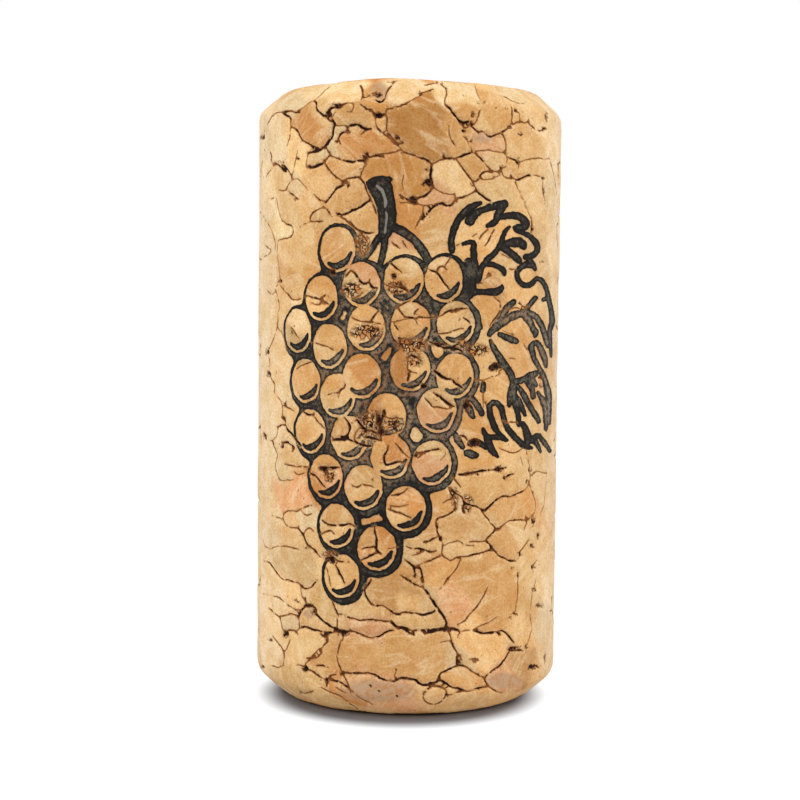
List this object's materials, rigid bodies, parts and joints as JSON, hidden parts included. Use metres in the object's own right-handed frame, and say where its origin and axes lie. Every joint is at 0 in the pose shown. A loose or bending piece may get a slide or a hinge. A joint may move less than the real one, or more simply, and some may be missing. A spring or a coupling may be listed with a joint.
{
  "type": "straight cork stopper",
  "caption": "Straight agglomerated cork stopper with beveled ends and a printed bunch of grapes with a vine leaf on its side.",
  "frame": {"origin": "centre of the foot, on the axis of the cork", "axes": "+Z along the cork's axis from foot to top, print facing -Y"},
  "size_m": [0.0225, 0.0225, 0.0445],
  "materials": {
    "cork": "pressed and glued cork granules, dry and matte",
    "ink": "dull olive grey food ink soaked into the cork"
  },
  "bodies": {
    "root": {"cork_body": "cork", "ink_print": "ink"}
  },
  "joints": []
}
